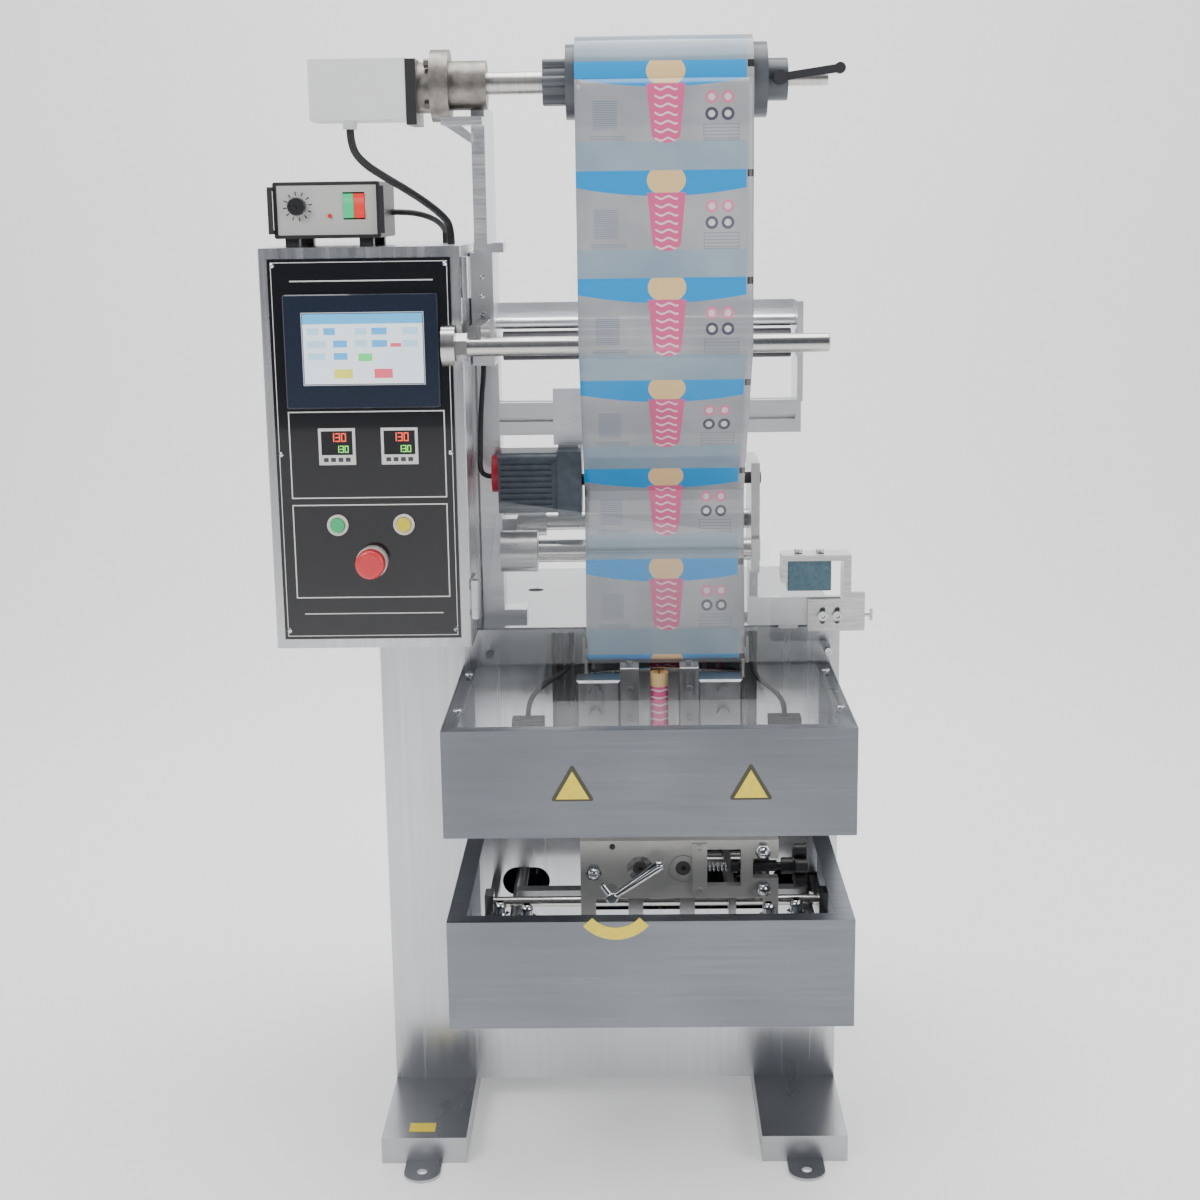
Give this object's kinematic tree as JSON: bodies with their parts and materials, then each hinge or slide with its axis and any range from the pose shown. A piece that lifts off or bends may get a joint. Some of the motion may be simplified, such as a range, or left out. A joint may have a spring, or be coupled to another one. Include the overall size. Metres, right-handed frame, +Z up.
{
  "type": "vertical form fill sealer",
  "caption": "Compact packing machine that folds printed film round a filling tube, seals its edges with heated jaws, draws it down and cuts off filled bags.",
  "frame": {"origin": "on the floor, at the centre of the four anchor holes in the feet", "axes": "+Z up, -Y towards the operator, +X to the operator's right"},
  "size_m": [0.807, 0.8599, 1.503],
  "materials": {
    "stainless": "brushed",
    "polished_deck": "mirror polished",
    "foot_steel": "satin",
    "clear_acrylic": "clear",
    "box_steel": "satin",
    "panel_black": "gloss",
    "screen_bezel": "semi-gloss",
    "pale_plastic": "matte",
    "green_plastic": "gloss",
    "yellow_plastic": "gloss",
    "red_plastic": "gloss",
    "black_case": "matte",
    "black_plastic": "matte",
    "white_paint": "satin",
    "cast_grey": "machined",
    "machined_steel": "turned",
    "film": "translucent",
    "extrusion": "anodised",
    "roller_rubber": "matte",
    "motor_paint": "satin",
    "cable_black": "matte"
  },
  "bodies": {
    "machine": {"bearing_plates": "stainless", "cabinet_shell": "stainless", "cable_controller": "cable_black", "cable_feed": "cable_black", "cable_heater_left": "cable_black", "cable_heater_right": "cable_black", "cable_unwind": "cable_black", "clear_guard": "clear_acrylic", "control_cabinet": "box_steel", "controller_case": "black_case", "deck_plate": "polished_deck", "fasteners": "machined_steel", "feed_motor": "motor_paint", "feet": "foot_steel", "filling_tube": "stainless", "film_former": "stainless", "film_frame": "extrusion", "film_sheet": "film", "film_web": "film", "guard_lid": "clear_acrylic", "guide_bar": "machined_steel", "heater_terminals": "black_plastic", "lower_tray": "stainless", "machine_rods": "machined_steel", "main_motor": "motor_paint", "roller_bracket": "stainless", "sensor_bar": "extrusion", "shaft_bearings": "machined_steel", "unwind_cover": "white_paint", "unwind_housing": "cast_grey", "upper_guard": "stainless"},
    "spindle": {"unwind_spindle": "machined_steel", "film_roll": "film"},
    "door": {"control_door": "box_steel", "control_fascia": "panel_black", "touch_screen": "screen_bezel", "temp_controllers": "pale_plastic"},
    "bearing_block": {"bearing_slide": "stainless", "tension_spring": "machined_steel"},
    "spindle_lever": {"spindle_lever": "black_plastic"},
    "tension_roller": {"tension_roller": "roller_rubber"},
    "feed_roller": {"feed_roller": "roller_rubber"},
    "lower_roller": {"lower_roller": "machined_steel"},
    "start_button": {"start_button": "green_plastic"},
    "step_button": {"step_button": "yellow_plastic"},
    "stop_button": {"stop_button": "red_plastic"},
    "controller_knob": {"controller_knob": "black_plastic"},
    "rocker_green": {"rocker_green": "green_plastic"},
    "rocker_red": {"rocker_red": "red_plastic"},
    "vertical_jaw_left": {"vertical_jaw_left": "stainless"},
    "vertical_jaw_right": {"vertical_jaw_right": "stainless"},
    "cross_jaw_left": {"cross_jaw_left": "stainless"},
    "cross_jaw_right": {"cross_jaw_right": "stainless"},
    "draw_roller_left": {"draw_roller_left": "roller_rubber"},
    "draw_roller_right": {"draw_roller_right": "roller_rubber"},
    "star_knob": {"star_knob": "black_plastic"},
    "clamp_lever": {"clamp_lever": "machined_steel"},
    "print_sensor": {"print_sensor": "extrusion"},
    "rear_door": {"rear_door": "stainless"},
    "cam_shaft": {"cam_shaft": "machined_steel"}
  },
  "joints": [
    {"name": "spindle_spin", "type": "hinge", "parent": "machine", "child": "spindle", "pos_m": [0, -0.277, 1.448], "axis": [1, 0, 0], "continuous": true},
    {"name": "spindle_lever_turn", "type": "hinge", "parent": "spindle", "child": "spindle_lever", "pos_m": [0.222, -0.311, 1.448], "axis": [0, 1, 0], "range_deg": [-60, 60]},
    {"name": "tension_roller_spin", "type": "hinge", "parent": "machine", "child": "tension_roller", "pos_m": [0, -0.09, 1.108], "axis": [1, 0, 0], "continuous": true},
    {"name": "feed_roller_spin", "type": "hinge", "parent": "machine", "child": "feed_roller", "pos_m": [0, -0.113, 0.923], "axis": [1, 0, 0], "continuous": true},
    {"name": "lower_roller_spin", "type": "hinge", "parent": "machine", "child": "lower_roller", "pos_m": [0, -0.128, 0.825], "axis": [1, 0, 0], "continuous": true},
    {"name": "control_door_swing", "type": "hinge", "parent": "machine", "child": "door", "pos_m": [-0.176, -0.271, 0.985], "axis": [0, 0, 1], "range_deg": [0, 38]},
    {"name": "start_button_press", "type": "slide", "parent": "door", "child": "start_button", "axis": [0, 1, 0], "range_m": [0, 0.004], "stiffness_N_per_m": 300, "springref_m": -0.002},
    {"name": "step_button_press", "type": "slide", "parent": "door", "child": "step_button", "axis": [0, 1, 0], "range_m": [0, 0.004], "stiffness_N_per_m": 300, "springref_m": -0.002},
    {"name": "stop_button_press", "type": "slide", "parent": "door", "child": "stop_button", "axis": [0, 1, 0], "range_m": [0, 0.005], "stiffness_N_per_m": 600, "springref_m": -0.002},
    {"name": "controller_knob_turn", "type": "hinge", "parent": "machine", "child": "controller_knob", "pos_m": [-0.3955, -0.23, 1.301], "axis": [0, 1, 0], "range_deg": [-150, 150]},
    {"name": "rocker_green_tilt", "type": "hinge", "parent": "machine", "child": "rocker_green", "pos_m": [-0.32925, -0.222, 1.301], "axis": [1, 0, 0], "range_deg": [-10, 10]},
    {"name": "rocker_red_tilt", "type": "hinge", "parent": "machine", "child": "rocker_red", "pos_m": [-0.31505, -0.222, 1.301], "axis": [1, 0, 0], "range_deg": [-10, 10]},
    {"name": "vertical_jaw_left_close", "type": "slide", "parent": "machine", "child": "vertical_jaw_left", "axis": [1, 0, 0], "range_m": [0, 0.0147]},
    {"name": "vertical_jaw_right_close", "type": "slide", "parent": "machine", "child": "vertical_jaw_right", "axis": [-1, 0, 0], "range_m": [0, 0.0147]},
    {"name": "cross_jaw_left_close", "type": "slide", "parent": "machine", "child": "cross_jaw_left", "axis": [1, 0, 0], "range_m": [0, 0.024]},
    {"name": "cross_jaw_right_close", "type": "slide", "parent": "machine", "child": "cross_jaw_right", "axis": [-1, 0, 0], "range_m": [0, 0.024]},
    {"name": "draw_roller_left_spin", "type": "hinge", "parent": "machine", "child": "draw_roller_left", "pos_m": [0.04, -0.2, 0.431], "axis": [0, 1, 0], "continuous": true},
    {"name": "bearing_block_slide", "type": "slide", "parent": "machine", "child": "bearing_block", "axis": [1, 0, 0], "range_m": [0, 0.004], "stiffness_N_per_m": 5000, "springref_m": -0.001},
    {"name": "draw_roller_right_spin", "type": "hinge", "parent": "bearing_block", "child": "draw_roller_right", "pos_m": [0.097, -0.2, 0.431], "axis": [0, 1, 0], "continuous": true},
    {"name": "star_knob_turn", "type": "hinge", "parent": "machine", "child": "star_knob", "pos_m": [0.2, -0.328, 0.431], "axis": [1, 0, 0], "continuous": true},
    {"name": "clamp_lever_turn", "type": "hinge", "parent": "machine", "child": "clamp_lever", "pos_m": [0.002, -0.366, 0.402], "axis": [0, 1, 0], "range_deg": [-80, 20]},
    {"name": "print_sensor_slide", "type": "slide", "parent": "machine", "child": "print_sensor", "axis": [0, 0, 1], "range_m": [-0.008, 0.008]},
    {"name": "rear_door_swing", "type": "hinge", "parent": "machine", "child": "rear_door", "pos_m": [-0.29, 0.288, 0.37], "axis": [0, 0, 1], "range_deg": [0, 110]},
    {"name": "cam_shaft_spin", "type": "hinge", "parent": "machine", "child": "cam_shaft", "pos_m": [0, 0.09, 0.3], "axis": [1, 0, 0], "continuous": true}
  ],
  "couplings": [
    {"joint": "vertical_jaw_right_close", "follows": "vertical_jaw_left_close", "ratio": 1},
    {"joint": "cross_jaw_right_close", "follows": "cross_jaw_left_close", "ratio": 1},
    {"joint": "draw_roller_right_spin", "follows": "draw_roller_left_spin", "ratio": -1}
  ]
}
